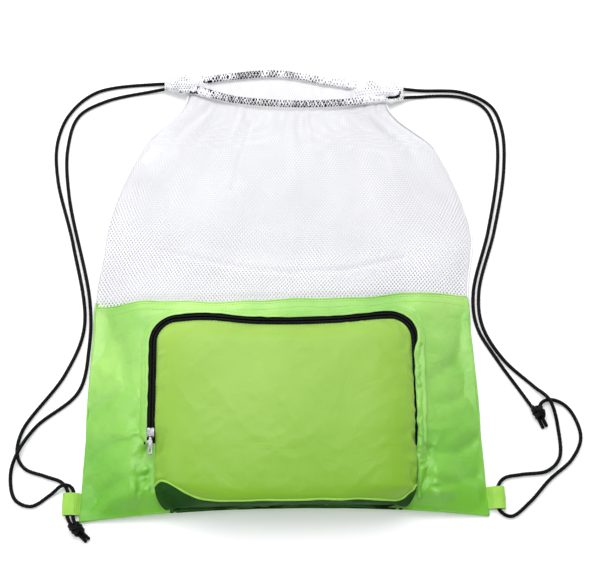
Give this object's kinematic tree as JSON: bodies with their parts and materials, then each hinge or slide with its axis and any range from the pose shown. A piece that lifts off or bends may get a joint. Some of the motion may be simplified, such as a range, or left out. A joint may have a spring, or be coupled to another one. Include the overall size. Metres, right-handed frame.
{
  "type": "drawstring backpack",
  "caption": "Flat foldable drawstring backpack with a nylon bottom, a gathered mesh top, a zipped front pocket and two cords run through casings and side loops.",
  "frame": {"origin": "under the middle of the bag's outline, on the surface that its back lies on; the cords and their knots are not counted", "axes": "+Z out of the front, through the pocket; +Y from the bottom seam towards the mouth; +X to the right when the pocket is seen from the front"},
  "size_m": [0.4982, 0.4422, 0.046],
  "materials": {
    "green_nylon": "satin",
    "white_mesh": "satin",
    "zip_tape": "matte",
    "zip_coil": "satin",
    "zip_metal": "polished",
    "label_satin": "satin",
    "black_cord": "matte"
  },
  "bodies": {
    "bag": {"back_panel": "green_nylon", "front_panel": "green_nylon", "mesh_back": "white_mesh", "mesh_front": "white_mesh", "hem_back": "white_mesh", "hem_front": "white_mesh", "pocket_pouch": "green_nylon", "zip_tape_outer": "zip_tape", "zip_coil_outer": "zip_coil", "zip_stop_left": "zip_metal", "zip_stop_right": "zip_metal", "tab_left": "green_nylon", "tab_right": "green_nylon", "care_label": "label_satin", "cord_left": "black_cord", "cord_right": "black_cord", "knot_left": "black_cord", "knot_right": "black_cord"},
    "flap": {"pocket_flap": "green_nylon", "zip_tape_inner": "zip_tape", "zip_coil_inner": "zip_coil"},
    "slider": {"zip_slider": "zip_metal"},
    "pull": {"zip_pull": "zip_metal"}
  },
  "joints": [
    {"name": "pocket_open", "type": "hinge", "parent": "bag", "child": "flap", "pos_m": [0.002, -0.145, 0.046], "axis": [1, 0, 0], "range_deg": [0, 150]},
    {"name": "zip_slide", "type": "slide", "parent": "bag", "child": "slider", "axis": [0, 1, 0], "range_m": [0, 0.072]},
    {"name": "pull_swing", "type": "hinge", "parent": "slider", "child": "pull", "pos_m": [-0.113, -0.144, 0.0285], "axis": [-1, 0, 0], "range_deg": [0, 165]}
  ]
}
